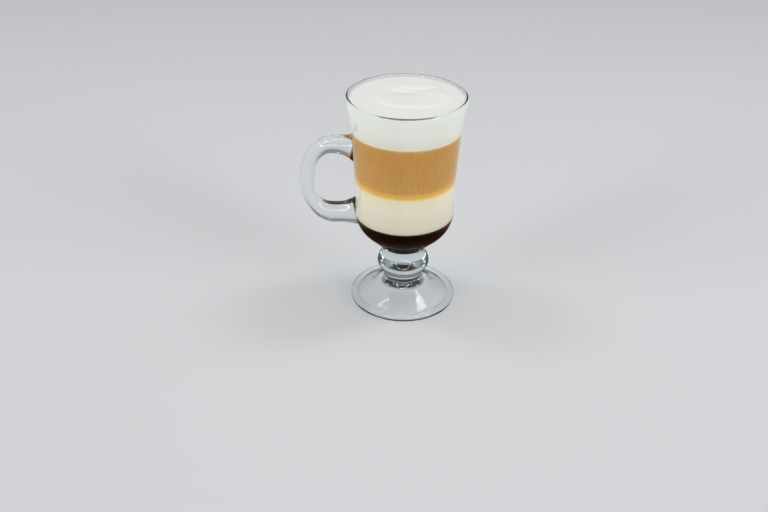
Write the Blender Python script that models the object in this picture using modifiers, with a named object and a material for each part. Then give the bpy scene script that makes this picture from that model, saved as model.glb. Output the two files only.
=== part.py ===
"""A layered caramel macchiato in the footed glass mug that it is served in.

Metres, +Z up. The origin is the centre of the base of the box round the whole part, and the handle
points to -X. The mug's own axis lies a little to +X of the origin, because of the handle.
The glass is one fused piece: bowl, knopped stem, foot and handle. Inside it lie, from the
bottom up, caramel syrup, milk, a golden band, milky coffee and foam.
"""
from math import asin, cos, exp, pi, radians, sin, sqrt

import bmesh
import bpy
from mathutils import Vector

MM = 0.001
TURN_STEPS = 40
TOUCH_GAP = 0.3 * MM

# The bowl. Its wall rises from the round bottom through a slight waist and flares to the lip. Like
# the other outlines here, the wall's is given as radius and height.
GLASS_HEIGHT = 147.5 * MM
LIP_THICKNESS = 2.9 * MM
LIP_ROUND = LIP_THICKNESS / 2
BASE_THICKNESS = 4.0 * MM
BOWL_ROUND_HEIGHT = 67.5 * MM
BOWL_ROUND = 22.0 * MM
BOWL_BOTTOM_SLOPE = radians(41.0)
BOWL_WALL = (
    (32.6 * MM, BOWL_ROUND_HEIGHT),
    (32.35 * MM, 76.0 * MM),
    (32.65 * MM, 88.0 * MM),
    (33.7 * MM, 104.0 * MM),
    (34.75 * MM, 120.0 * MM),
    (35.9 * MM, 132.0 * MM),
    (37.4 * MM, 140.0 * MM),
    (38.45 * MM, GLASS_HEIGHT - LIP_ROUND),
)

# The stem: a short upper neck, the rounded knop and a slim lower neck.
STEM_CURVE = (
    (14.3 * MM, 40.6 * MM),
    (14.2 * MM, 37.8 * MM),
    (14.9 * MM, 35.0 * MM),
    (16.5 * MM, 32.0 * MM),
    (17.35 * MM, 28.8 * MM),
    (16.6 * MM, 25.8 * MM),
    (14.7 * MM, 23.0 * MM),
    (13.1 * MM, 20.0 * MM),
    (12.1 * MM, 17.2 * MM),
)

# The foot: a flared dome that ends in a rolled bead. It is hollow underneath, so that its glass is
# about as thick all over, and it stands on a narrow flat ring under the bead.
FOOT_DOME = (
    (12.5 * MM, 15.6 * MM),
    (14.3 * MM, 13.6 * MM),
    (17.0 * MM, 11.7 * MM),
    (23.0 * MM, 8.6 * MM),
    (30.4 * MM, 4.5 * MM),
)
BEAD_ROUND = 2.6 * MM
BEAD_CREASE = radians(145)
FOOT_RADIUS = 35.5 * MM
FOOT_HOLLOW = (
    (30.4 * MM, 0.0),
    (29.0 * MM, 0.9 * MM),
    (26.0 * MM, 2.5 * MM),
    (21.3 * MM, 4.9 * MM),
    (15.5 * MM, 7.7 * MM),
    (8.0 * MM, 9.8 * MM),
    (0.0, 10.5 * MM),
)

# The handle's cross-sections from the upper joint round to the lower one. Each is the distance
# from the axis and the height of its outer edge, the same of its inner edge, and its thickness.
HANDLE_SECTIONS = (
    (33.0, 120.4, 32.2, 99.8, 13.5),
    (37.0, 119.7, 36.5, 104.1, 11.2),
    (42.5, 119.5, 41.8, 106.5, 10.0),
    (48.6, 119.0, 48.0, 107.2, 9.5),
    (55.8, 116.2, 52.2, 105.7, 9.5),
    (62.0, 109.6, 56.1, 101.4, 9.5),
    (66.6, 99.8, 58.1, 95.8, 9.5),
    (68.4, 88.3, 58.9, 87.3, 9.5),
    (67.2, 77.6, 58.3, 79.5, 9.5),
    (63.3, 68.9, 55.3, 74.4, 9.5),
    (57.0, 60.8, 51.2, 72.2, 9.5),
    (49.2, 57.2, 46.4, 71.8, 9.5),
    (40.6, 57.1, 40.0, 72.3, 10.0),
    (34.6, 56.4, 35.0, 74.1, 11.2),
    (28.2, 55.4, 31.8, 76.2, 13.5),
)
HANDLE_SIDES = 16
STATIONS_PER_SECTION = 2
HANDLE_REACH = 68.4 * MM

# Everything is modelled about the mug's axis, which is then moved here.
MUG_AXIS_X = (HANDLE_REACH - BOWL_WALL[-1][0]) / 2

# The drink's levels above the table, from the bottom of the bowl to the foam's edge.
SYRUP_BOTTOM = 50.8 * MM
SYRUP_TOP = 64.0 * MM
MILK_TOP = 89.8 * MM
GOLD_TOP = 94.2 * MM
COFFEE_TOP = 125.0 * MM
FOAM_EDGE = 146.0 * MM

# The round of the hollow's bottom, which the syrup fills.
HOLLOW_ROUND = BOWL_ROUND_HEIGHT - SYRUP_BOTTOM
HOLLOW_CENTRE = (BOWL_WALL[0][0] - BASE_THICKNESS - HOLLOW_ROUND, BOWL_ROUND_HEIGHT)

# The foam's low relief: a spooned heap, a dip left by the spoon, and the fold beside it.
HEAP_CENTRE = (2.0 * MM, 5.0 * MM)
HEAP_RADII = (25.0 * MM, 22.0 * MM)
HEAP_RISE = 0.7 * MM
HEAP_EDGE_WIDTH = 0.16
DIP_CENTRE = (-1.5 * MM, 8.5 * MM)
DIP_RADII = (15.0 * MM, 7.5 * MM)
DIP_DEPTH = 1.3 * MM
FOLD_CENTRE = (19.0 * MM, 6.0 * MM)
FOLD_RADII = (11.0 * MM, 8.0 * MM)
FOLD_RISE = 0.5 * MM


def clear_scene():
    """Start from an empty scene."""
    for old in list(bpy.data.objects):
        bpy.data.objects.remove(old, do_unlink=True)


def arc(centre, radius, start, end, pieces):
    """Points on a circle in the outline's plane, both ends included."""
    turns = [start + (end - start) * i / pieces for i in range(pieces + 1)]
    return [(centre[0] + radius * cos(t), centre[1] + radius * sin(t)) for t in turns]


def through(rows, pieces):
    """A smooth curve through rows of values, with each gap between rows cut into equal pieces."""
    padded = [rows[0], *rows, rows[-1]]
    points = []
    for before, start, end, after in zip(padded, padded[1:], padded[2:], padded[3:]):
        for i in range(pieces):
            t = i / pieces
            points.append(tuple(
                b + 0.5 * t * (c - a + t * (2 * a - 5 * b + 4 * c - d + t * (3 * b - 3 * c + d - a)))
                for a, b, c, d in zip(before, start, end, after)
            ))
    points.append(tuple(rows[-1]))
    return points


def wall_radius(height):
    """The outer wall's radius at a height, read along its outline."""
    for (low_radius, low), (high_radius, high) in zip(BOWL_WALL, BOWL_WALL[1:]):
        if height <= high:
            return low_radius + (high_radius - low_radius) * (height - low) / (high - low)
    return BOWL_WALL[-1][0]


def wall_thickness(height):
    """The bowl's wall, which thins evenly from the round bottom to the lip."""
    risen = (height - BOWL_ROUND_HEIGHT) / (GLASS_HEIGHT - LIP_ROUND - BOWL_ROUND_HEIGHT)
    return BASE_THICKNESS + (LIP_THICKNESS - BASE_THICKNESS) * risen


def inside_radius(height, clearance=0.0):
    """The hollow's radius at a height, less a clearance to the glass."""
    if height >= BOWL_ROUND_HEIGHT:
        return wall_radius(height) - wall_thickness(height) - clearance
    hollow_round = HOLLOW_ROUND - clearance
    return HOLLOW_CENTRE[0] + sqrt(max(hollow_round ** 2 - (BOWL_ROUND_HEIGHT - height) ** 2, 0.0))


def glass_outline():
    """The whole glass's outline: up the inside, over the lip, down the outside, under the foot."""
    lip_centre = (BOWL_WALL[-1][0] - LIP_ROUND, BOWL_WALL[-1][1])
    bowl_centre = (BOWL_WALL[0][0] - BOWL_ROUND, BOWL_ROUND_HEIGHT)
    bead_centre = (FOOT_RADIUS - BEAD_ROUND, BEAD_ROUND)

    inside = [(0.0, SYRUP_BOTTOM)]
    inside += arc(HOLLOW_CENTRE, HOLLOW_ROUND, -pi / 2, 0.0, 7)
    inside += [(inside_radius(height), height) for _, height in BOWL_WALL[1:-1]]
    lip = arc(lip_centre, LIP_ROUND, pi, 0.0, 6)
    outside = list(BOWL_WALL[-2:0:-1])
    outside += arc(bowl_centre, BOWL_ROUND, 0.0, BOWL_BOTTOM_SLOPE - pi / 2, 6)
    stem = through(STEM_CURVE, 2)
    bead = arc(bead_centre, BEAD_ROUND, BEAD_CREASE, -pi / 2, 8)
    return inside + lip + outside + stem + list(FOOT_DOME) + bead + list(FOOT_HOLLOW)


def layer_outline(low, high, pieces):
    """A layer's outline between two levels, clear of the wall and of the layers next to it."""
    top = high - TOUCH_GAP / 2
    bottom = low + TOUCH_GAP / 2
    heights = [top + (bottom - top) * i / pieces for i in range(pieces + 1)]
    wall = [(inside_radius(height, TOUCH_GAP), height) for height in heights]
    return [(0.0, top)] + wall + [(0.0, bottom)]


def syrup_outline():
    """The syrup's outline, which follows the bowl's round bottom."""
    top = SYRUP_TOP - TOUCH_GAP / 2
    syrup_round = HOLLOW_ROUND - TOUCH_GAP
    start = -asin((BOWL_ROUND_HEIGHT - top) / syrup_round)
    side = arc(HOLLOW_CENTRE, syrup_round, start, -pi / 2, 6)
    return [(0.0, top)] + side + [(0.0, SYRUP_BOTTOM + TOUCH_GAP)]


def material(name, colour, roughness, transmission=0.0, ior=1.5):
    """A Principled material in one colour."""
    made = bpy.data.materials.new(name)
    made.use_nodes = True
    shader = made.node_tree.nodes["Principled BSDF"]
    shader.inputs["Base Color"].default_value = (*colour, 1.0)
    shader.inputs["Roughness"].default_value = roughness
    shader.inputs["Metallic"].default_value = 0.0
    shader.inputs["Transmission Weight"].default_value = transmission
    shader.inputs["IOR"].default_value = ior
    return made


def placed(name, mesh, collection):
    """An object that stands on the mug's axis."""
    thing = bpy.data.objects.new(name, mesh)
    thing.location.x = MUG_AXIS_X
    collection.objects.link(thing)
    return thing


def turned(name, outline, finish, collection):
    """A solid of revolution: the outline at +X, turned about Z."""
    mesh = bpy.data.meshes.new(name)
    edges = [(i, i + 1) for i in range(len(outline) - 1)]
    mesh.from_pydata([(radius, 0.0, height) for radius, height in outline], edges, [])
    mesh.materials.append(finish)
    thing = placed(name, mesh, collection)
    screw = thing.modifiers.new("turn", "SCREW")
    screw.axis = "Z"
    screw.steps = TURN_STEPS
    screw.render_steps = TURN_STEPS
    screw.use_merge_vertices = True
    screw.merge_threshold = 0.00001
    screw.use_smooth_shade = True
    return thing


def handle_ring(section):
    """One oval cross-section of the handle, between its outer and its inner edge."""
    outer_reach, outer_height, inner_reach, inner_height, thickness = (value * MM for value in section)
    outer = Vector((-outer_reach, 0.0, outer_height))
    inner = Vector((-inner_reach, 0.0, inner_height))
    centre = (outer + inner) / 2
    in_plane = (outer - inner) / 2
    across = Vector((0.0, thickness / 2, 0.0))
    turns = [2 * pi * i / HANDLE_SIDES for i in range(HANDLE_SIDES)]
    return [centre + in_plane * cos(t) + across * sin(t) for t in turns]


def make_handle(finish, collection):
    """The handle, a loft through its cross-sections, with both ends inside the bowl's wall."""
    body = bmesh.new()
    rings = [[body.verts.new(point) for point in handle_ring(section)]
             for section in through(HANDLE_SECTIONS, STATIONS_PER_SECTION)]
    for ring, following in zip(rings, rings[1:]):
        for i in range(HANDLE_SIDES):
            after = (i + 1) % HANDLE_SIDES
            body.faces.new((ring[i], ring[after], following[after], following[i]))
    body.faces.new(rings[0])
    body.faces.new(rings[-1])
    bmesh.ops.recalc_face_normals(body, faces=body.faces)
    mesh = bpy.data.meshes.new("handle")
    body.to_mesh(mesh)
    body.free()
    mesh.shade_smooth()
    mesh.materials.append(finish)
    thing = placed("handle", mesh, collection)
    thing.hide_render = True
    thing.display_type = "WIRE"
    return thing


def oval_distance(x, y, centre, radii):
    """How far a point lies from an oval's centre, where 1 is on the oval."""
    return sqrt(((x - centre[0]) / radii[0]) ** 2 + ((y - centre[1]) / radii[1]) ** 2)


def foam_relief(x, y):
    """The foam's height above its edge level."""
    heap_step = (1.0 - oval_distance(x, y, HEAP_CENTRE, HEAP_RADII)) / HEAP_EDGE_WIDTH
    heap = HEAP_RISE / (1.0 + exp(-4.0 * heap_step))
    dip = DIP_DEPTH * exp(-2.0 * oval_distance(x, y, DIP_CENTRE, DIP_RADII) ** 2)
    fold = FOLD_RISE * exp(-2.0 * oval_distance(x, y, FOLD_CENTRE, FOLD_RADII) ** 2)
    return heap - dip + fold


def make_foam(finish, collection):
    """The foam, turned like the other layers, with its top raised into the relief."""
    top_rings = 9
    edge_radius = inside_radius(FOAM_EDGE, TOUCH_GAP)
    flat_top = [(edge_radius * i / top_rings, FOAM_EDGE) for i in range(top_rings)]
    side = layer_outline(COFFEE_TOP, FOAM_EDGE + TOUCH_GAP / 2, 4)[1:]
    turned_foam = turned("foam", flat_top + side, finish, collection)
    evaluated = turned_foam.evaluated_get(bpy.context.evaluated_depsgraph_get())
    mesh = bpy.data.meshes.new_from_object(evaluated)
    bpy.data.objects.remove(turned_foam)
    for vertex in mesh.vertices:
        x, y, z = vertex.co
        if z > FOAM_EDGE - TOUCH_GAP / 2:
            fade = min(1.0, (edge_radius - sqrt(x * x + y * y)) / (edge_radius / top_rings))
            vertex.co.z = z + foam_relief(x, y) * fade
    mesh.name = "foam"
    return placed("foam", mesh, collection)


clear_scene()
drink = bpy.data.collections.new("caramel_macchiato")
helpers = bpy.data.collections.new("joined_pieces")
bpy.context.scene.collection.children.link(drink)
bpy.context.scene.collection.children.link(helpers)

clear_glass = material("clear_glass", (0.93, 0.97, 0.96), 0.02, transmission=1.0, ior=1.5)
glass = turned("glass", glass_outline(), clear_glass, drink)
fused = glass.modifiers.new("fuse_handle", "BOOLEAN")
fused.operation = "UNION"
fused.solver = "EXACT"
fused.object = make_handle(clear_glass, helpers)

turned("syrup", syrup_outline(), material("caramel_syrup", (0.030, 0.008, 0.002), 0.15), drink)
turned("milk", layer_outline(SYRUP_TOP, MILK_TOP, 5), material("milk", (0.72, 0.64, 0.44), 0.35), drink)
turned("gold", layer_outline(MILK_TOP, GOLD_TOP, 1), material("gold_band", (0.68, 0.38, 0.10), 0.35), drink)
turned("coffee", layer_outline(GOLD_TOP, COFFEE_TOP, 5), material("milky_coffee", (0.50, 0.27, 0.09), 0.35),
       drink)
make_foam(material("milk_foam", (0.80, 0.80, 0.76), 0.60), drink)
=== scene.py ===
"""The looks of a layered caramel macchiato in its footed glass mug.

Metres, +Z up. The origin is the centre of the base of the box round the whole part, and the handle
points to -X. Each piece is shaped about the mug's own axis and then moved to its place. The sections
follow the drink as it is put together: the mug first, then the syrup, the milk, the golden band,
the milky coffee and the foam from the bottom up.
"""
from math import asin, cos, exp, hypot, pi, radians, sin, sqrt

import bmesh
import bpy
from mathutils import Matrix, Vector
from mathutils.geometry import intersect_point_line


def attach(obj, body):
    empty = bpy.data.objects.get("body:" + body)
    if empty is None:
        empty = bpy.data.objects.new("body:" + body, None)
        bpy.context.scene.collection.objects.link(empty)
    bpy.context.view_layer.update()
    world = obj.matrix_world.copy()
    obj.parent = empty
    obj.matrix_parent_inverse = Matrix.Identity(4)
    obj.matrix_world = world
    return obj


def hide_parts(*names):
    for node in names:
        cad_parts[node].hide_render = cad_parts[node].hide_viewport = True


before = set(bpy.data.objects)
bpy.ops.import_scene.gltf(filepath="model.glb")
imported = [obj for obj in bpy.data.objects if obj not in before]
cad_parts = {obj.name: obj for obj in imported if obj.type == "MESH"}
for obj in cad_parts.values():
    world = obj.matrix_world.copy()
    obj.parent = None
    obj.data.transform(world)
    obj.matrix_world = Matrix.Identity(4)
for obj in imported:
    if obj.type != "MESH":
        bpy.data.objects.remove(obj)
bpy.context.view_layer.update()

MM = 0.001

# The camera looks down at the drink from straight in front of it, through a lens a little longer
# than a standard one, and leans very slightly to one side.
MUG_AXIS_X = 14.975 * MM
CAMERA_PLACE = Vector((MUG_AXIS_X, -0.56869, 0.37870))
CAMERA_DOWN = radians(31.4883)
CAMERA_ASIDE = radians(-1.31736)
CAMERA_LEAN = radians(0.66478)
CAMERA_LENS = 45.85
CAMERA_CLIP_START = 0.01
SENSOR_WIDTH = 36.0

camera = bpy.data.objects.new("camera", bpy.data.cameras.new("camera"))
camera.data.lens = CAMERA_LENS
camera.data.sensor_width = SENSOR_WIDTH
camera.data.clip_start = CAMERA_CLIP_START
camera.matrix_world = (
    Matrix.Translation(CAMERA_PLACE)
    @ Matrix.Rotation(-CAMERA_ASIDE, 4, "Z")
    @ Matrix.Rotation(pi / 2 - CAMERA_DOWN, 4, "X")
    @ Matrix.Rotation(CAMERA_LEAN, 4, "Z")
)
bpy.context.scene.collection.objects.link(camera)
bpy.context.scene.camera = camera
bpy.context.scene.view_settings.view_transform = "Standard"

# The mug is one piece of pressed soda-lime glass: a tall bowl that flares to a rounded lip, a stem
# with one knop, and a domed foot that ends in a rolled bead. The handle is fused to the bowl's
# side while the glass is hot. The glass is clear, and a little blue-green where it is thick.
TURN_STEPS = 160
MERGE_DISTANCE = 0.001 * MM
CURVE_PIECES = 5
BOWL_ARC_PIECES = 18
LIP_ARC_PIECES = 32
BEAD_ARC_PIECES = 22
GLASS_HEIGHT = 147.5 * MM
LIP_THICKNESS = 2.9 * MM
LIP_ROUND = LIP_THICKNESS / 2
BASE_THICKNESS = 4.0 * MM
BOWL_ROUND_HEIGHT = 67.5 * MM
BOWL_ROUND = 22.0 * MM
BOWL_BOTTOM_SLOPE = radians(41.0)
BOWL_WALL = (
    (32.6 * MM, BOWL_ROUND_HEIGHT),
    (32.35 * MM, 76.0 * MM),
    (32.65 * MM, 88.0 * MM),
    (33.7 * MM, 104.0 * MM),
    (34.75 * MM, 120.0 * MM),
    (35.9 * MM, 132.0 * MM),
    (37.4 * MM, 140.0 * MM),
    (38.45 * MM, GLASS_HEIGHT - LIP_ROUND),
)
HOLLOW_BOTTOM = 50.8 * MM
HOLLOW_ROUND = BOWL_ROUND_HEIGHT - HOLLOW_BOTTOM
HOLLOW_CENTRE = (BOWL_WALL[0][0] - BASE_THICKNESS - HOLLOW_ROUND, BOWL_ROUND_HEIGHT)
STEM_CURVE = (
    (14.3 * MM, 40.6 * MM),
    (14.2 * MM, 37.8 * MM),
    (14.9 * MM, 35.0 * MM),
    (16.5 * MM, 32.0 * MM),
    (17.35 * MM, 28.8 * MM),
    (16.6 * MM, 25.8 * MM),
    (14.7 * MM, 23.0 * MM),
    (13.1 * MM, 20.0 * MM),
    (12.1 * MM, 17.2 * MM),
    (12.5 * MM, 15.6 * MM),
    (14.3 * MM, 13.6 * MM),
    (17.0 * MM, 11.7 * MM),
    (23.0 * MM, 8.6 * MM),
    (30.4 * MM, 4.5 * MM),
)
BEAD_ROUND = 2.6 * MM
BEAD_CREASE = radians(145)
FOOT_RADIUS = 35.5 * MM
FOOT_HOLLOW = (
    (30.4 * MM, 0.0),
    (29.0 * MM, 0.9 * MM),
    (26.0 * MM, 2.5 * MM),
    (21.3 * MM, 4.9 * MM),
    (15.5 * MM, 7.7 * MM),
    (8.0 * MM, 9.8 * MM),
    (0.0, 10.5 * MM),
)
# Each row, in millimetres: how far out and how high the outer and the inner curve lie, and the
# handle's thickness across.
HANDLE_SECTIONS = (
    (33.0, 120.4, 32.2, 99.8, 13.5),
    (37.0, 119.7, 36.5, 104.1, 11.2),
    (42.5, 119.5, 41.8, 106.5, 10.0),
    (48.6, 119.0, 48.0, 107.2, 9.5),
    (55.8, 116.2, 52.2, 105.7, 9.5),
    (62.0, 109.6, 56.1, 101.4, 9.5),
    (66.6, 99.8, 58.1, 95.8, 9.5),
    (68.4, 88.3, 58.9, 87.3, 9.5),
    (67.2, 77.6, 58.3, 79.5, 9.5),
    (63.3, 68.9, 55.3, 74.4, 9.5),
    (57.0, 60.8, 51.2, 72.2, 9.5),
    (49.2, 57.2, 46.4, 71.8, 9.5),
    (40.6, 57.1, 40.0, 72.3, 10.0),
    (34.6, 56.4, 35.0, 74.1, 11.2),
    (28.2, 55.4, 31.8, 76.2, 13.5),
)
HANDLE_SIDES = 40
STATIONS_PER_SECTION = 7
MUG_SHARP_ANGLE = radians(28)
GLASS_IOR = 1.5
GLASS_TINT = (0.25, 0.56, 0.60, 1.0)
GLASS_TINT_DENSITY = 10.0
LAMPLIGHT_SHARE = (0.92, 0.94, 0.94, 1.0)
PRESSING_WAVE_SCALE = 45.0
PRESSING_WAVE_HEIGHT = 0.2 * MM
PRESSING_WAVE_STRENGTH = 0.02


def arc(centre, radius, start, end, pieces):
    """Points on a circle in the outline's plane, both ends included."""
    turns = [start + (end - start) * i / pieces for i in range(pieces + 1)]
    return [(centre[0] + radius * cos(t), centre[1] + radius * sin(t)) for t in turns]


def through(rows, pieces):
    """A smooth curve through rows of values, with each gap between rows cut into equal pieces."""
    first = tuple(2 * a - b for a, b in zip(rows[0], rows[1]))
    last = tuple(2 * a - b for a, b in zip(rows[-1], rows[-2]))
    padded = [first, *rows, last]
    points = []
    for before, start, end, after in zip(padded, padded[1:], padded[2:], padded[3:]):
        for i in range(pieces):
            t = i / pieces
            points.append(tuple(
                b + 0.5 * t * (c - a + t * (2 * a - 5 * b + 4 * c - d + t * (3 * b - 3 * c + d - a)))
                for a, b, c, d in zip(before, start, end, after)
            ))
    points.append(tuple(rows[-1]))
    return points


def wall_thickness(height):
    """The bowl's wall, which thins evenly from the round bottom to the lip."""
    risen = (height - BOWL_ROUND_HEIGHT) / (GLASS_HEIGHT - LIP_ROUND - BOWL_ROUND_HEIGHT)
    return BASE_THICKNESS + (LIP_THICKNESS - BASE_THICKNESS) * risen


outer_wall = through(BOWL_WALL, CURVE_PIECES)
inner_wall = [(radius - wall_thickness(height), height) for radius, height in outer_wall]


def inside_radius(height):
    """The hollow's radius at a height, read along its smooth outline."""
    if height < BOWL_ROUND_HEIGHT:
        return HOLLOW_CENTRE[0] + sqrt(HOLLOW_ROUND ** 2 - (BOWL_ROUND_HEIGHT - height) ** 2)
    for (low_radius, low), (high_radius, high) in zip(inner_wall, inner_wall[1:]):
        if height <= high:
            return low_radius + (high_radius - low_radius) * (height - low) / (high - low)
    return inner_wall[-1][0]


def turned(outline):
    """A closed body turned about Z from an outline that starts and ends on the axis."""
    body = bmesh.new()
    points = [body.verts.new((radius, 0.0, height)) for radius, height in outline]
    edges = [body.edges.new(pair) for pair in zip(points, points[1:])]
    bmesh.ops.spin(body, geom=points + edges, cent=(0.0, 0.0, 0.0), axis=(0.0, 0.0, 1.0),
                   angle=2 * pi, steps=TURN_STEPS, use_merge=True)
    bmesh.ops.remove_doubles(body, verts=body.verts, dist=MERGE_DISTANCE)
    bmesh.ops.recalc_face_normals(body, faces=body.faces)
    return body


def piece_from(body, name, material, sharp_angle=None, axis_x=MUG_AXIS_X):
    """The finished object of a bmesh, moved to the mug's axis, smooth-shaded, in one material."""
    bmesh.ops.translate(body, verts=body.verts, vec=(axis_x, 0.0, 0.0))
    mesh = bpy.data.meshes.new(name)
    body.to_mesh(mesh)
    body.free()
    mesh.shade_smooth()
    if sharp_angle is not None:
        mesh.set_sharp_from_angle(angle=sharp_angle)
    mesh.materials.append(material)
    piece = bpy.data.objects.new(name, mesh)
    bpy.context.scene.collection.objects.link(piece)
    return piece


def glass_outline():
    """The whole glass: up the inside, over the lip, down the outside, under the foot."""
    lip_centre = (BOWL_WALL[-1][0] - LIP_ROUND, BOWL_WALL[-1][1])
    bowl_centre = (BOWL_WALL[0][0] - BOWL_ROUND, BOWL_ROUND_HEIGHT)
    bead_centre = (FOOT_RADIUS - BEAD_ROUND, BEAD_ROUND)
    inside = [(0.0, HOLLOW_BOTTOM)]
    inside += arc(HOLLOW_CENTRE, HOLLOW_ROUND, -pi / 2, 0.0, BOWL_ARC_PIECES)
    inside += inner_wall[1:-1]
    lip = arc(lip_centre, LIP_ROUND, pi, 0.0, LIP_ARC_PIECES)
    outside = outer_wall[-2:0:-1]
    outside += arc(bowl_centre, BOWL_ROUND, 0.0, BOWL_BOTTOM_SLOPE - pi / 2, BOWL_ARC_PIECES)
    stem = through(STEM_CURVE, CURVE_PIECES)
    bead = arc(bead_centre, BEAD_ROUND, BEAD_CREASE, -pi / 2, BEAD_ARC_PIECES)
    hollow = through(FOOT_HOLLOW, CURVE_PIECES)
    return inside + lip + outside + stem + bead + hollow


def handle_body():
    """The handle, a loft through oval cross-sections, with both ends inside the bowl's wall."""
    body = bmesh.new()
    rings = []
    for section in through(HANDLE_SECTIONS, STATIONS_PER_SECTION):
        sizes = [value * MM for value in section]
        outer_reach, outer_height, inner_reach, inner_height, thickness = sizes
        outer = Vector((-outer_reach, 0.0, outer_height))
        inner = Vector((-inner_reach, 0.0, inner_height))
        in_plane = (outer - inner) / 2
        across = Vector((0.0, thickness / 2, 0.0))
        along = in_plane.cross(across).normalized()
        placed = Matrix((in_plane, across, along)).transposed().to_4x4()
        placed.translation = (outer + inner) / 2
        made = len(body.edges)
        bmesh.ops.create_circle(body, radius=1.0, segments=HANDLE_SIDES, matrix=placed)
        rings.append(list(body.edges)[made:])
    for ring, following in zip(rings, rings[1:]):
        bmesh.ops.bridge_loops(body, edges=ring + following)
    bmesh.ops.holes_fill(body, edges=body.edges)
    bmesh.ops.recalc_face_normals(body, faces=body.faces)
    return body


def joined(piece, addition):
    """The piece with an addition fused to it, as one closed mesh."""
    fusing = piece.modifiers.new("fuse", "BOOLEAN")
    fusing.operation = "UNION"
    fusing.solver = "EXACT"
    fusing.object = addition
    evaluated = piece.evaluated_get(bpy.context.evaluated_depsgraph_get())
    fused = bpy.data.meshes.new_from_object(evaluated)
    fused.name = piece.name
    piece.modifiers.clear()
    piece.data = fused
    bpy.data.objects.remove(addition)
    return piece


def node(tree, kind, **settings):
    """A new node, with the settings that it is given."""
    made = tree.nodes.new(kind)
    for name, value in settings.items():
        setattr(made, name, value)
    return made


def principled(name):
    """A new material with its node tree and its Principled shader."""
    material = bpy.data.materials.new(name)
    material.use_nodes = True
    return material, material.node_tree, material.node_tree.nodes["Principled BSDF"]


def join_up(tree, source, target):
    """Link an output to an input, or set the input where the source is a plain value."""
    if isinstance(source, bpy.types.NodeSocket):
        tree.links.new(source, target)
    else:
        target.default_value = source


def calculated(tree, operation, *values):
    """The output of a Math node on one or two values."""
    made = node(tree, "ShaderNodeMath", operation=operation)
    for value, target in zip(values, made.inputs):
        join_up(tree, value, target)
    return made.outputs["Value"]


def speckle(tree, vector, scale, detail=2.0):
    """The value of a noise texture."""
    made = node(tree, "ShaderNodeTexNoise")
    made.inputs["Scale"].default_value = scale
    made.inputs["Detail"].default_value = detail
    tree.links.new(vector, made.inputs["Vector"])
    return made.outputs["Fac"]


def bumped(tree, height, strength, distance):
    """The normal of a surface raised by a height."""
    made = node(tree, "ShaderNodeBump")
    made.inputs["Strength"].default_value = strength
    made.inputs["Distance"].default_value = distance
    tree.links.new(height, made.inputs["Height"])
    return made.outputs["Normal"]


def object_place(tree):
    """A point's place on the piece, in metres from the origin."""
    return node(tree, "ShaderNodeTexCoord").outputs["Object"]


def clear_material(name, ior, clearness=1.0):
    """A new smooth clear material with its node tree and its shader."""
    material, tree, shader = principled(name)
    shader.inputs["Base Color"].default_value = (1.0, 1.0, 1.0, 1.0)
    shader.inputs["Roughness"].default_value = 0.0
    shader.inputs["IOR"].default_value = ior
    shader.inputs["Transmission Weight"].default_value = clearness
    return material, tree, shader


def absorb_light(tree, colour, density):
    """Let a clear material tint the light by how far it travels inside."""
    inside = node(tree, "ShaderNodeVolumeAbsorption")
    inside.inputs["Color"].default_value = colour
    inside.inputs["Density"].default_value = density
    join_up(tree, inside.outputs["Volume"], tree.nodes["Material Output"].inputs["Volume"])


def let_lamps_through(tree, shader, share):
    """Let the light of the lamps pass a clear material straight, so that what is inside is lit."""
    passing = node(tree, "ShaderNodeBsdfTransparent")
    passing.inputs["Color"].default_value = share
    either = node(tree, "ShaderNodeMixShader")
    join_up(tree, node(tree, "ShaderNodeLightPath").outputs["Is Shadow Ray"], either.inputs[0])
    join_up(tree, shader.outputs["BSDF"], either.inputs[1])
    join_up(tree, passing.outputs["BSDF"], either.inputs[2])
    join_up(tree, either.outputs["Shader"], tree.nodes["Material Output"].inputs["Surface"])


clear_glass, tree, shader = clear_material("clear_glass", GLASS_IOR)
pressing_waves = speckle(tree, object_place(tree), PRESSING_WAVE_SCALE, detail=1.0)
waved = bumped(tree, pressing_waves, PRESSING_WAVE_STRENGTH, PRESSING_WAVE_HEIGHT)
join_up(tree, waved, shader.inputs["Normal"])
absorb_light(tree, GLASS_TINT, GLASS_TINT_DENSITY)
let_lamps_through(tree, shader, LAMPLIGHT_SHARE)

mug = piece_from(turned(glass_outline()), "glass_mug", clear_glass)
handle = piece_from(handle_body(), "glass_handle", clear_glass)
joined(mug, handle)
mug.data.set_sharp_from_angle(angle=MUG_SHARP_ANGLE)
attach(mug, "root")
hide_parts("glass")

# The caramel syrup is poured in first and lies in the bowl's round bottom. It is thick, and so dark
# that it looks black. Toward its outline, as the camera sees it, a painted glow turns it a warm brown,
# standing in for light that shines through its thin edge. Where it wets the glass, the inside of the
# wall no longer shines.
WALL_REACH = 0.12 * MM
LAYER_SHARP_ANGLE = radians(40)
SYRUP_TOP = 64.0 * MM
SYRUP_ROUND = HOLLOW_ROUND + WALL_REACH
SYRUP_TOP_TURN = -asin((BOWL_ROUND_HEIGHT - SYRUP_TOP) / SYRUP_ROUND)
SYRUP_IOR = 1.0
SYRUP_CLEARNESS = 0.50
SYRUP_TINT = (0.712, 0.52, 0.08, 1.0)
SYRUP_DENSITY = 320.0
SYRUP_DARK = (0.0, 0.0, 0.0, 1.0)
SYRUP_PAINTED_GLOW = (1.0, 0.16, 0.0, 1.0)
PAINTED_GLOW_START = 51.5 * MM
PAINTED_GLOW_FULL = 55.5 * MM
PAINTED_GLOW_FALLOFF = 3.0
WETTED_IOR = 1.005

syrup_outline = [(0.0, SYRUP_TOP)]
syrup_outline += arc(HOLLOW_CENTRE, SYRUP_ROUND, SYRUP_TOP_TURN, -pi / 2, BOWL_ARC_PIECES)
syrup_outline += [(0.0, HOLLOW_BOTTOM - WALL_REACH)]

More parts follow.
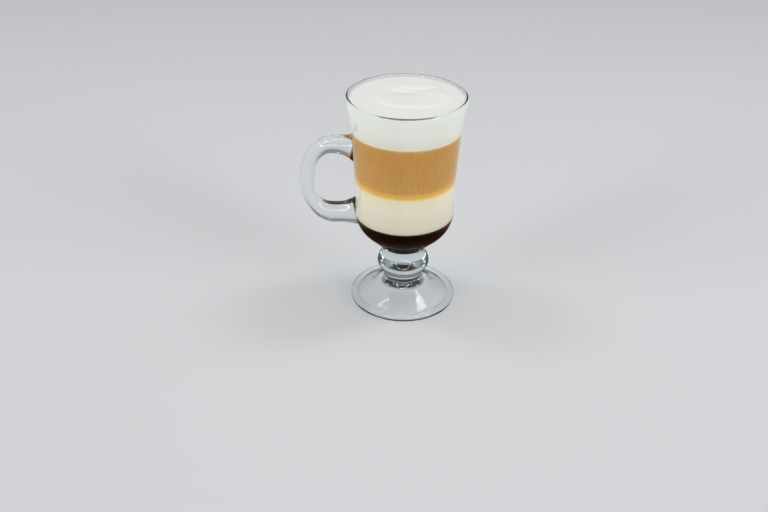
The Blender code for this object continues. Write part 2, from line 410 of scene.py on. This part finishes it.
caramel_syrup, tree, shader = clear_material("caramel_syrup", SYRUP_IOR, SYRUP_CLEARNESS)
place = node(tree, "ShaderNodeSeparateXYZ")
join_up(tree, object_place(tree), place.inputs["Vector"])
above_bottom = node(tree, "ShaderNodeMapRange", interpolation_type="SMOOTHSTEP")
above_bottom.inputs["From Min"].default_value = PAINTED_GLOW_START
above_bottom.inputs["From Max"].default_value = PAINTED_GLOW_FULL
join_up(tree, place.outputs["Z"], above_bottom.inputs["Value"])
# Painted glow: the syrup is coloured amber where its surface turns away from the camera, above its
# lowest part, in place of light shining through its thin edge.
facing = node(tree, "ShaderNodeLayerWeight").outputs["Facing"]
toward_outline = calculated(tree, "POWER", facing, PAINTED_GLOW_FALLOFF)
painted_glow_share = calculated(tree, "MULTIPLY", toward_outline, above_bottom.outputs["Result"])
painted_glow = node(tree, "ShaderNodeMix", data_type="RGBA")
painted_glow.inputs["A"].default_value = SYRUP_DARK
painted_glow.inputs["B"].default_value = SYRUP_PAINTED_GLOW
join_up(tree, painted_glow_share, painted_glow.inputs["Factor"])
join_up(tree, painted_glow.outputs["Result"], shader.inputs["Base Color"])
absorb_light(tree, SYRUP_TINT, SYRUP_DENSITY)

wetted_glass, tree, shader = clear_material("wetted_glass", WETTED_IOR)
let_lamps_through(tree, shader, (1.0, 1.0, 1.0, 1.0))
mug.data.materials.append(wetted_glass)
for face in mug.data.polygons:
    x, y, height = face.center
    if HOLLOW_BOTTOM - WALL_REACH < height < SYRUP_TOP:
        wall = inside_radius(max(height, HOLLOW_BOTTOM))
        if hypot(x - MUG_AXIS_X, y) < wall + WALL_REACH:
            face.material_index = 1

syrup = piece_from(turned(syrup_outline), "caramel_syrup", caramel_syrup, LAYER_SHARP_ANGLE)
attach(syrup, "root")
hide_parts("syrup")

# The milk floats on the syrup. It is cream-white with a faint peach band where coffee has run down
# into it, and it darkens over the last few millimetres where it runs into the syrup.
MILK_TOP = 89.8 * MM
LEVEL_OVERLAP = 1.2 * MM
MILK_BOTTOM = SYRUP_TOP - LEVEL_OVERLAP
MILK_WAVER = 0.4 * MM
MILK_STREAK_DEPTH = 0.03
LAYER_WALL_PIECES = 24
DRINK_ROUGHNESS = 0.5
WAVER_SCALE = 45.0
STREAK_SCALE = 1300.0
STREAK_SQUEEZE = (1.0, 1.0, 0.06)


def layer_outline(low, high, pieces):
    """A layer's outline between two levels, reaching just into the wall of the glass."""
    heights = [high + (low - high) * i / pieces for i in range(pieces + 1)]
    wall = [(inside_radius(height) + WALL_REACH, height) for height in heights]
    return [(0.0, high)] + wall + [(0.0, low)]


def make_pour():
    """The effect of one liquid poured on another: a level that wavers, and fine upright streaks."""
    group = bpy.data.node_groups.new("pour", "ShaderNodeTree")
    sockets = (
        ("Place", "NodeSocketVector", "INPUT"),
        ("Waver", "NodeSocketFloat", "INPUT"),
        ("Level", "NodeSocketFloat", "OUTPUT"),
        ("Streaks", "NodeSocketFloat", "OUTPUT"),
    )
    for name, kind, way in sockets:
        group.interface.new_socket(name, in_out=way, socket_type=kind)
    given = node(group, "NodeGroupInput")
    result = node(group, "NodeGroupOutput")
    parts = node(group, "ShaderNodeSeparateXYZ")
    group.links.new(given.outputs["Place"], parts.inputs["Vector"])
    slow = calculated(group, "SUBTRACT", speckle(group, given.outputs["Place"], WAVER_SCALE), 0.5)
    raised = calculated(group, "MULTIPLY", slow, given.outputs["Waver"])
    level = calculated(group, "ADD", parts.outputs["Z"], raised)
    join_up(group, level, result.inputs["Level"])
    drawn_out = node(group, "ShaderNodeMapping")
    drawn_out.inputs["Scale"].default_value = STREAK_SQUEEZE
    group.links.new(given.outputs["Place"], drawn_out.inputs["Vector"])
    streaks = speckle(group, drawn_out.outputs["Vector"], STREAK_SCALE)
    join_up(group, streaks, result.inputs["Streaks"])
    return group


pour = make_pour()


def poured_colour(tree, waver, tones, streak_depth):
    """A colour that follows the level from the lowest to the highest tone, with upright streaks."""
    low = tones[0][0]
    high = tones[-1][0]
    poured = node(tree, "ShaderNodeGroup", node_tree=pour)
    poured.inputs["Waver"].default_value = waver
    tree.links.new(object_place(tree), poured.inputs["Place"])
    share = node(tree, "ShaderNodeMapRange")
    share.inputs["From Min"].default_value = low
    share.inputs["From Max"].default_value = high
    tree.links.new(poured.outputs["Level"], share.inputs["Value"])
    ramp = node(tree, "ShaderNodeValToRGB")
    stops = ramp.color_ramp.elements
    stops.remove(stops[0])
    stops[0].position = 0.0
    stops[0].color = (*tones[0][1], 1.0)
    for height, tone in tones[1:]:
        stops.new((height - low) / (high - low)).color = (*tone, 1.0)
    tree.links.new(share.outputs["Result"], ramp.inputs["Fac"])
    streaks = calculated(tree, "MULTIPLY", poured.outputs["Streaks"], streak_depth)
    lightness = calculated(tree, "ADD", streaks, 1.0 - streak_depth / 2)
    streaked = node(tree, "ShaderNodeVectorMath", operation="SCALE")
    tree.links.new(ramp.outputs["Color"], streaked.inputs[0])
    join_up(tree, lightness, streaked.inputs["Scale"])
    return streaked.outputs["Vector"]


def drink_material(name, waver, tones, streak_depth):
    """A dull liquid that the glass touches, so that it has no shine of its own."""
    material, tree, shader = principled(name)
    shader.inputs["Roughness"].default_value = DRINK_ROUGHNESS
    shader.inputs["Specular IOR Level"].default_value = 0.0
    colour = poured_colour(tree, waver, tones, streak_depth)
    join_up(tree, colour, shader.inputs["Base Color"])
    return material


MILK_TONES = (
    (MILK_BOTTOM, (0.012, 0.003, 0.001)),
    (63.4 * MM, (0.05, 0.028, 0.014)),
    (64.0 * MM, (0.18, 0.125, 0.075)),
    (64.4 * MM, (0.58, 0.49, 0.36)),
    (64.9 * MM, (0.76, 0.69, 0.54)),
    (69.1 * MM, (0.79, 0.73, 0.59)),
    (73.4 * MM, (0.805, 0.745, 0.60)),
    (79.9 * MM, (0.86, 0.795, 0.665)),
    (82.7 * MM, (0.88, 0.79, 0.615)),
    (87.1 * MM, (0.88, 0.795, 0.615)),
    (88.6 * MM, (0.89, 0.78, 0.53)),
    (MILK_TOP, (0.88, 0.64, 0.27)),
)
milk_white = drink_material("milk", MILK_WAVER, MILK_TONES, MILK_STREAK_DEPTH)
milk_body = turned(layer_outline(MILK_BOTTOM, MILK_TOP, LAYER_WALL_PIECES))
milk = piece_from(milk_body, "milk", milk_white, LAYER_SHARP_ANGLE)
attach(milk, "root")
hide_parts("milk")

# The golden band is where the espresso thins out into the milk. It glows from caramel at its top to
# pale straw at its foot.
GOLD_TOP = 94.2 * MM
GOLD_WAVER = 0.5 * MM
GOLD_STREAK_DEPTH = 0.3
GOLD_WALL_PIECES = 8
GOLD_TONES = (
    (MILK_TOP, (0.88, 0.64, 0.27)),
    (90.9 * MM, (0.81, 0.50, 0.125)),
    (91.9 * MM, (0.83, 0.455, 0.088)),
    (93.2 * MM, (0.77, 0.40, 0.072)),
    (GOLD_TOP, (0.64, 0.335, 0.068)),
)
gold_tone = drink_material("gold_band", GOLD_WAVER, GOLD_TONES, GOLD_STREAK_DEPTH)
gold_body = turned(layer_outline(MILK_TOP, GOLD_TOP, GOLD_WALL_PIECES))
gold = piece_from(gold_body, "gold_band", gold_tone, LAYER_SHARP_ANGLE)
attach(gold, "root")
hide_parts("gold")

# The milky coffee above it is an even light brown, with fine upright streaks left by the pouring
# and a thin pale line under the foam.
COFFEE_TOP = 125.0 * MM
COFFEE_WAVER = 0.4 * MM
COFFEE_STREAK_DEPTH = 0.38
COFFEE_TONES = (
    (GOLD_TOP, (0.64, 0.335, 0.068)),
    (97.0 * MM, (0.60, 0.312, 0.069)),
    (108.0 * MM, (0.58, 0.302, 0.069)),
    (121.0 * MM, (0.58, 0.285, 0.056)),
    (123.9 * MM, (0.61, 0.33, 0.085)),
    (COFFEE_TOP, (0.80, 0.69, 0.48)),
)
coffee_tone = drink_material("milky_coffee", COFFEE_WAVER, COFFEE_TONES, COFFEE_STREAK_DEPTH)
coffee_body = turned(layer_outline(GOLD_TOP, COFFEE_TOP, LAYER_WALL_PIECES))
coffee = piece_from(coffee_body, "milky_coffee", coffee_tone, LAYER_SHARP_ANGLE)
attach(coffee, "root")
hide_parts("coffee")

# The milk foam is spooned on last and fills the glass to the lip. It is a low heap with a dip where
# the spoon left it, a fold beside the dip and shallow creases round both. Its bubbles are too fine
# to see singly. A thin dark line is painted round its edge where it meets the glass under the lip:
# partly its real wet edge, partly painted shade for the dark line that the lip's glass shows there.
FOAM_EDGE = 146.0 * MM
HEAP_CENTRE = (2.0 * MM, 5.0 * MM)
HEAP_RADII = (25.0 * MM, 22.0 * MM)
HEAP_RISE = 0.7 * MM
HEAP_EDGE_WIDTH = 0.16
HEAP_STEEPNESS = 4.0
DIP_CENTRE = (-1.5 * MM, 8.5 * MM)
DIP_RADII = (15.0 * MM, 7.5 * MM)
DIP_DEPTH = 1.3 * MM
FOLD_CENTRE = (19.0 * MM, 6.0 * MM)
FOLD_RADII = (11.0 * MM, 8.0 * MM)
FOLD_RISE = 0.5 * MM
OVAL_FALLOFF = 2.0
FOAM_RINGS = 90
FOAM_WALL_PIECES = 20
FOAM_TOP_TOLERANCE = 0.01 * MM
RELIEF_EDGE_WIDTH = 2.0 * MM
SHOULDER_DROP = 0.3 * MM
SHOULDER_WIDTH = 0.5 * MM
# The creases' points are in millimetres from the mug's axis.
FAR_CREASE = (
    (-23.1, 6.4), (-18.5, 14.6), (-12.1, 21.5), (-1.2, 26.5), (12.1, 26.5),
    (19.3, 21.7), (22.9, 14.6), (26.6, 8.4), (29.6, 2.9),
)
NEAR_CREASE = (
    (-23.1, 6.4), (-20.7, -0.4), (-18.3, -7.2), (-13.3, -15.0), (-8.0, -16.5),
    (-2.8, -17.1), (2.9, -17.2), (9.7, -13.1), (19.8, -6.5), (22.0, -3.7),
)
FOLD_CREASE = (
    (-1.0, 14.4), (3.9, 13.2), (9.3, 12.9), (14.8, 13.8),
    (21.3, 14.3), (24.4, 9.0), (28.1, 4.2), (32.2, -0.4),
)
CREASES = (
    (FAR_CREASE, 0.42 * MM, 1.0 * MM),
    (NEAR_CREASE, 0.17 * MM, 1.2 * MM),
    (FOLD_CREASE, 0.42 * MM, 1.3 * MM),
)
FOAM_WAVER = 0.8 * MM
FOAM_STREAK_DEPTH = 0.01
FOAM_ROUGHNESS = 0.6
FOAM_SHINE = 0.2
FOAM_TONES = (
    (COFFEE_TOP, (0.86, 0.79, 0.60)),
    (126.2 * MM, (0.80, 0.77, 0.66)),
    (129.0 * MM, (0.84, 0.83, 0.76)),
    (136.0 * MM, (0.86, 0.86, 0.80)),
    (146.5 * MM, (0.88, 0.88, 0.84)),
)
BUBBLE_SCALE = 2200.0
BUBBLE_HEIGHT = 0.05 * MM
BUBBLE_STRENGTH = 0.15
WET_SHADED_EDGE_WIDTH = 0.15 * MM
WET_SHADED_EDGE_START = 145.45 * MM
WET_SHADED_EDGE_FULL = 145.65 * MM
WET_SHADED_EDGE_TONE = (0.22, 0.20, 0.17, 1.0)


def oval_distance(x, y, centre, radii):
    """How far a point lies from an oval's centre, where 1 is on the oval."""
    return sqrt(((x - centre[0]) / radii[0]) ** 2 + ((y - centre[1]) / radii[1]) ** 2)


def distance_to_crease(x, y, crease):
    """How far a point lies from a crease's line, given in millimetres."""
    point = Vector((x, y)) / MM
    nearest = []
    for start, end in zip(crease, crease[1:]):
        share = intersect_point_line(point, start, end)[1]
        on_line = Vector(start).lerp(Vector(end), max(0.0, min(1.0, share)))
        nearest.append((point - on_line).length)
    return min(nearest) * MM


def foam_relief(x, y):
    """The foam's height above its edge level."""
    heap_step = (1.0 - oval_distance(x, y, HEAP_CENTRE, HEAP_RADII)) / HEAP_EDGE_WIDTH
    heap = HEAP_RISE / (1.0 + exp(-HEAP_STEEPNESS * heap_step))
    dip = DIP_DEPTH * exp(-OVAL_FALLOFF * oval_distance(x, y, DIP_CENTRE, DIP_RADII) ** 2)
    fold = FOLD_RISE * exp(-OVAL_FALLOFF * oval_distance(x, y, FOLD_CENTRE, FOLD_RADII) ** 2)
    creases = 0.0
    for line, depth, width in CREASES:
        creases += depth * exp(-(distance_to_crease(x, y, line) / width) ** 2)
    return heap - dip + fold - creases


foam_radius = inside_radius(FOAM_EDGE) + WALL_REACH
foam_top = [(foam_radius * i / FOAM_RINGS, FOAM_EDGE) for i in range(FOAM_RINGS)]
foam_side = layer_outline(COFFEE_TOP, FOAM_EDGE, FOAM_WALL_PIECES)[1:]
foam_body = turned(foam_top + foam_side)
for vert in foam_body.verts:
    if vert.co.z > FOAM_EDGE - FOAM_TOP_TOLERANCE:
        from_wall = foam_radius - vert.co.xy.length
        vert.co.z += foam_relief(vert.co.x, vert.co.y) * min(1.0, from_wall / RELIEF_EDGE_WIDTH)
        vert.co.z -= SHOULDER_DROP * exp(-(from_wall / SHOULDER_WIDTH) ** 2)

foam_white, tree, shader = principled("milk_foam")
shader.inputs["Roughness"].default_value = FOAM_ROUGHNESS
shader.inputs["Specular IOR Level"].default_value = FOAM_SHINE
place = node(tree, "ShaderNodeSeparateXYZ")
join_up(tree, object_place(tree), place.inputs["Vector"])
sideways = calculated(tree, "SUBTRACT", place.outputs["X"], MUG_AXIS_X)
sideways_squared = calculated(tree, "POWER", sideways, 2.0)
depth_squared = calculated(tree, "POWER", place.outputs["Y"], 2.0)
from_axis = calculated(tree, "SQRT", calculated(tree, "ADD", sideways_squared, depth_squared))
# A thin dark ring at the wall, near the top: partly the foam's wet edge, partly painted shade.
at_wall = calculated(tree, "GREATER_THAN", from_axis, foam_radius - WET_SHADED_EDGE_WIDTH)
near_top = node(tree, "ShaderNodeMapRange", interpolation_type="SMOOTHSTEP")
near_top.inputs["From Min"].default_value = WET_SHADED_EDGE_START
near_top.inputs["From Max"].default_value = WET_SHADED_EDGE_FULL
join_up(tree, place.outputs["Z"], near_top.inputs["Value"])
wet_shaded_edge = calculated(tree, "MULTIPLY", at_wall, near_top.outputs["Result"])
edged = node(tree, "ShaderNodeMix", data_type="RGBA")
edged.inputs["B"].default_value = WET_SHADED_EDGE_TONE
join_up(tree, wet_shaded_edge, edged.inputs["Factor"])
foam_colour = poured_colour(tree, FOAM_WAVER, FOAM_TONES, FOAM_STREAK_DEPTH)
join_up(tree, foam_colour, edged.inputs["A"])
join_up(tree, edged.outputs["Result"], shader.inputs["Base Color"])
bubbles = node(tree, "ShaderNodeTexVoronoi")
bubbles.inputs["Scale"].default_value = BUBBLE_SCALE
join_up(tree, object_place(tree), bubbles.inputs["Vector"])
bubbly = bumped(tree, bubbles.outputs["Distance"], BUBBLE_STRENGTH, BUBBLE_HEIGHT)
join_up(tree, bubbly, shader.inputs["Normal"])
foam = piece_from(foam_body, "milk_foam", foam_white, LAYER_SHARP_ANGLE)
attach(foam, "root")
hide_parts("foam")

# The stage is a plain pale floor in a dim white room, lit by two wide soft lamps in front and two
# small ones above. The glass doesn't mirror these lamps. It mirrors two cards, two strips, a ring
# lamp round the lens, and a floor that is dark near the drink, so that the pale floor doesn't veil it.
FLOOR_RADIUS = 4.0
FLOOR_SIDES = 96
# A hair above the foot's lowest point, so that no mirrored gap shows under the foot.
FLOOR_HEIGHT = 0.03 * MM
FLOOR_ROUGHNESS = 0.7
FLOOR_SHINE = 0.2
FLOOR_TONE = (0.74, 0.745, 0.76, 1.0)
MIRRORED_SHADE = (0.045, 0.03, 0.018, 1.0)
SHADE_INNER_RADIUS = 0.07
SHADE_OUTER_RADIUS = 0.17
ROOM_TONE = (0.96, 0.98, 1.0, 1.0)
ROOM_GLOW = 0.20
GLOW_FROM_ABOVE = 0.14
GLOW_FROM_SIDES = 0.6
GLOW_FROM_BEHIND = 0.06
RING_RADIUS = 0.40
RING_STEPS = 64
RING_TUBE = 0.028
RING_TUBE_SIDES = 12
RING_TONE = (1.0, 0.98, 0.95, 1.0)
RING_STRENGTH = 10.0

floor_body = bmesh.new()
bmesh.ops.create_circle(floor_body, cap_ends=True, radius=FLOOR_RADIUS, segments=FLOOR_SIDES,
                        matrix=Matrix.Translation((0.0, 0.0, FLOOR_HEIGHT)))
floor_pale, tree, shader = principled("floor")
from_drink = node(tree, "ShaderNodeVectorMath", operation="DISTANCE")
from_drink.inputs[1].default_value = (MUG_AXIS_X, 0.0, 0.0)
join_up(tree, object_place(tree), from_drink.inputs[0])
nearness = node(tree, "ShaderNodeMapRange", interpolation_type="SMOOTHSTEP")
nearness.inputs["From Min"].default_value = SHADE_INNER_RADIUS
nearness.inputs["From Max"].default_value = SHADE_OUTER_RADIUS
nearness.inputs["To Min"].default_value = 1.0
nearness.inputs["To Max"].default_value = 0.0
join_up(tree, from_drink.outputs["Value"], nearness.inputs["Value"])
mirror_depth = node(tree, "ShaderNodeLightPath").outputs["Glossy Depth"]
mirrored = calculated(tree, "GREATER_THAN", mirror_depth, 0.5)
shaded = calculated(tree, "MULTIPLY", mirrored, nearness.outputs["Result"])
tones = node(tree, "ShaderNodeMix", data_type="RGBA")
tones.inputs["A"].default_value = FLOOR_TONE
tones.inputs["B"].default_value = MIRRORED_SHADE
join_up(tree, shaded, tones.inputs["Factor"])
join_up(tree, tones.outputs["Result"], shader.inputs["Base Color"])
shader.inputs["Roughness"].default_value = FLOOR_ROUGHNESS
shader.inputs["Specular IOR Level"].default_value = FLOOR_SHINE
floor = piece_from(floor_body, "floor", floor_pale, axis_x=0.0)

world = bpy.data.worlds.new("studio")
bpy.context.scene.world = world
world.use_nodes = True
tree = world.node_tree
sky = tree.nodes["Background"]
sky.inputs["Color"].default_value = ROOM_TONE
way = node(tree, "ShaderNodeSeparateXYZ")
join_up(tree, node(tree, "ShaderNodeTexCoord").outputs["Generated"], way.inputs["Vector"])
from_above = calculated(tree, "MULTIPLY", way.outputs["Z"], GLOW_FROM_ABOVE)
sideways = calculated(tree, "MULTIPLY", way.outputs["X"], way.outputs["X"])
far_sideways = calculated(tree, "MULTIPLY", sideways, sideways)
from_sides = calculated(tree, "MULTIPLY", far_sideways, GLOW_FROM_SIDES)
from_behind = calculated(tree, "MULTIPLY", way.outputs["Y"], GLOW_FROM_BEHIND)
glow = calculated(tree, "ADD", from_above, from_sides)
glow = calculated(tree, "ADD", glow, from_behind)
glow = calculated(tree, "ADD", glow, ROOM_GLOW)
join_up(tree, glow, sky.inputs["Strength"])


def softbox(name, place, width, depth, power, mirrored=False):
    """A soft lamp that faces the drink. The glass shows no trace of it unless it is mirrored."""
    lamp = bpy.data.lights.new(name, "AREA")
    lamp.shape = "RECTANGLE"
    lamp.size = width
    lamp.size_y = depth
    lamp.energy = power
    holder = bpy.data.objects.new(name, lamp)
    target = Vector((MUG_AXIS_X, 0.0, GLASS_HEIGHT / 2))
    aim = (target - Vector(place)).to_track_quat("-Z", "Y")
    holder.matrix_world = Matrix.Translation(place) @ aim.to_matrix().to_4x4()
    holder.visible_camera = False
    holder.visible_glossy = mirrored
    holder.visible_transmission = mirrored
    bpy.context.scene.collection.objects.link(holder)


softbox("lamp_front_left", (-2.65, -1.45, 0.95), 2.0, 1.4, 46.0)
softbox("lamp_front_right", (2.65, -1.45, 0.95), 2.0, 1.4, 46.0)
softbox("lamp_left", (-0.50, 0.18, 1.05), 0.18, 0.28, 0.75)
softbox("lamp_right", (0.53, 0.18, 1.05), 0.20, 0.40, 1.15)
softbox("card_left", (-2.0, -1.4, 1.3), 0.35, 1.0, 6.0, mirrored=True)
softbox("card_right", (2.0, -1.4, 1.3), 0.35, 1.0, 6.0, mirrored=True)
softbox("strip_left", (-0.44, 0.16, 1.00), 0.12, 0.26, 0.50, mirrored=True)
softbox("strip_right", (0.44, 0.155, 1.00), 0.15, 0.28, 0.70, mirrored=True)

ring_body = bmesh.new()
tube_place = Matrix.Translation((RING_RADIUS, 0.0, 0.0)) @ Matrix.Rotation(pi / 2, 4, "X")
bmesh.ops.create_circle(ring_body, radius=RING_TUBE, segments=RING_TUBE_SIDES, matrix=tube_place)
bmesh.ops.spin(ring_body, geom=ring_body.verts[:] + ring_body.edges[:], cent=(0.0, 0.0, 0.0),
               axis=(0.0, 0.0, 1.0), angle=2 * pi, steps=RING_STEPS, use_merge=True)
bmesh.ops.recalc_face_normals(ring_body, faces=ring_body.faces)
bmesh.ops.transform(ring_body, matrix=camera.matrix_world, verts=ring_body.verts)
ring_glow, tree, shader = principled("ring_glow")
shader.inputs["Emission Color"].default_value = RING_TONE
shader.inputs["Emission Strength"].default_value = RING_STRENGTH
ring_lamp = piece_from(ring_body, "ring_lamp", ring_glow, axis_x=0.0)
ring_lamp.visible_camera = False
ring_lamp.visible_diffuse = False
ring_lamp.visible_transmission = False
